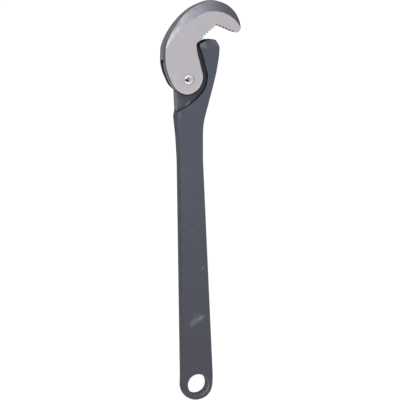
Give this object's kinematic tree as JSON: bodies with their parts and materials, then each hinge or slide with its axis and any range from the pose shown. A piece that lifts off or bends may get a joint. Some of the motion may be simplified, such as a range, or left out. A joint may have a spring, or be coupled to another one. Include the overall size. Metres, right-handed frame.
{
  "type": "self-adjusting pipe wrench",
  "caption": "Self-adjusting pipe wrench: forged handle with a toothed nose, and a forked hook jaw on a sleeve pivot that a torsion spring pulls shut; hanging hole at the end.",
  "frame": {"origin": "centre of the hanging hole, at the middle of the handle's thickness", "axes": "+Y up the handle towards the jaw, +Z out of the side the pivot screw is driven from, +X towards the mouth"},
  "size_m": [0.069, 0.354, 0.0186],
  "materials": {
    "handle_finish": "satin",
    "jaw_steel": "ground",
    "sleeve_steel": "blued",
    "screw_zinc": "bright zinc plate",
    "spring_steel": "drawn"
  },
  "bodies": {
    "handle": {"handle": "handle_finish", "jaw_spring": "spring_steel"},
    "hook": {"hook_jaw": "jaw_steel", "pivot_sleeve": "sleeve_steel", "pivot_screw": "screw_zinc"}
  },
  "joints": [
    {"name": "jaw_pivot", "type": "hinge", "parent": "handle", "child": "hook", "pos_m": [-0.001, 0.273, 0], "axis": [0, 0, 1], "range_deg": [0, 100], "stiffness_Nm_per_rad": 0.07, "springref_deg": -20.05, "deforming": ["jaw_spring"]}
  ]
}
